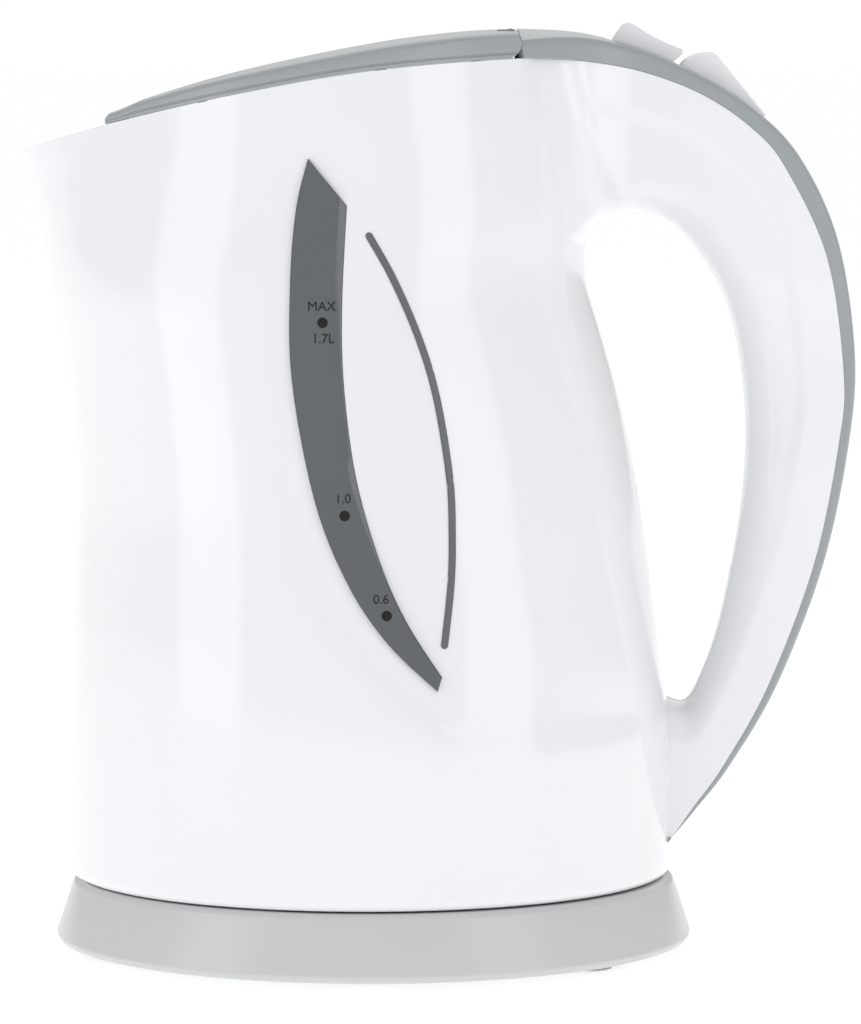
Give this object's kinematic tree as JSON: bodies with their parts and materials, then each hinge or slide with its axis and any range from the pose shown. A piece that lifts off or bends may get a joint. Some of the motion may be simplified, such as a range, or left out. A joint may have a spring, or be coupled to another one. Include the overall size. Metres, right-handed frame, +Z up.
{
  "type": "electric kettle",
  "caption": "Cordless electric kettle with spout, hinged lid, level gauges, loop handle with lid button and rocker switch, on a round swivelling power base.",
  "frame": {"origin": "on the table under the power base's axis, in the plane of the base's feet", "axes": "+Z up, the spout points to -X, the handle to +X, the seen side with the gauge faces -Y"},
  "size_m": [0.2155, 0.1663, 0.2391],
  "materials": {
    "white_plastic": "glossy moulded polypropylene",
    "grey_plastic": "satin-gloss moulded plastic",
    "pale_grey_plastic": "satin moulded plastic",
    "button_plastic": "glossy moulded plastic",
    "gauge_plastic": "clear smoked plastic, polished",
    "inlay_plastic": "polished plastic",
    "black_plastic": "fine-textured engineering plastic",
    "cream_plastic": "natural nylon",
    "foot_rubber": "soft moulded rubber",
    "black_rubber": "soft moulded rubber",
    "silicone": "translucent silicone",
    "steel": "zinc-plated",
    "stainless_steel": "circular-brushed stainless",
    "aluminium": "as rolled",
    "brass": "stamped, bright",
    "bimetal": "stamped bimetal strip",
    "lead_insulation": "silicone insulation"
  },
  "bodies": {
    "power_base": {"base_cover": "pale_grey_plastic", "base_bottom": "pale_grey_plastic", "base_feet": "foot_rubber", "base_screws": "steel", "base_socket": "black_plastic", "base_contacts": "brass", "cord_gland": "black_rubber", "cord_clamp": "black_plastic", "clamp_screws": "steel"},
    "round_connector": {"kettle_connector": "black_plastic", "connector_contacts": "brass"},
    "kettle": {"body_shell": "white_plastic", "handle_shell": "white_plastic", "handle_cover": "grey_plastic", "bottom_cover": "white_plastic", "bottom_screws": "steel", "heating_plate": "stainless_steel", "plate_seal": "silicone", "heat_spreader": "aluminium", "heating_element": "steel", "element_terminals": "brass", "control_housing": "black_plastic", "dry_boil_bimetals": "bimetal", "control_screws": "steel", "gauge_window_left": "gauge_plastic", "gauge_window_right": "gauge_plastic", "gauge_seal_left": "silicone", "gauge_seal_right": "silicone", "accent_trim_left": "inlay_plastic", "accent_trim_right": "inlay_plastic", "filter_frame": "pale_grey_plastic", "filter_mesh": "stainless_steel", "handle_leads": "lead_insulation", "steam_duct": "black_plastic", "steam_bimetal": "bimetal", "switch_cradle": "white_plastic", "switch_body": "black_plastic", "switch_terminals": "brass", "hinge_bracket": "grey_plastic", "bracket_screws": "steel", "hinge_pins": "steel", "lid_springs": "steel", "latch_spring": "steel"},
    "lid": {"lid_hinge": "grey_plastic", "lid_cover": "grey_plastic", "lid_liner": "pale_grey_plastic", "lid_seal": "silicone", "lid_screws": "steel"},
    "lid_release": {"lid_button": "button_plastic"},
    "latch": {"latch_bolt": "cream_plastic"},
    "rocker": {"power_switch": "button_plastic"},
    "contact_carriage": {"contact_slider": "cream_plastic"}
  },
  "joints": [
    {"name": "kettle_lift", "type": "slide", "parent": "power_base", "child": "round_connector", "axis": [0, 0, 1], "range_m": [0, 0.08]},
    {"name": "kettle_swivel", "type": "hinge", "parent": "round_connector", "child": "kettle", "pos_m": [0, 0, 0.03], "axis": [0, 0, 1], "continuous": true},
    {"name": "lid_hinge_turn", "type": "hinge", "parent": "kettle", "child": "lid", "pos_m": [0.035, 0, 0.235], "axis": [0, 1, 0], "range_deg": [0, 80]},
    {"name": "lid_button_press", "type": "hinge", "parent": "kettle", "child": "lid_release", "pos_m": [0.075, 0, 0.2242], "axis": [0, -1, 0], "range_deg": [0, 7], "stiffness_Nm_per_rad": 0.15, "springref_deg": -11.46},
    {"name": "latch_slide", "type": "slide", "parent": "kettle", "child": "latch", "axis": [1, 0, 0], "range_m": [0, 0.0032], "deforming": ["latch_spring"]},
    {"name": "rocker_turn", "type": "hinge", "parent": "kettle", "child": "rocker", "pos_m": [0.088, 0, 0.2155], "axis": [0, 1, 0], "range_deg": [0, 8]},
    {"name": "contact_slide", "type": "slide", "parent": "kettle", "child": "contact_carriage", "axis": [1, 0, 0], "range_m": [-0.0016, 0]}
  ],
  "couplings": [
    {"joint": "latch_slide", "follows": "lid_button_press", "m_per_rad": 0.024555},
    {"joint": "contact_slide", "follows": "rocker_turn", "m_per_rad": -0.010027}
  ]
}
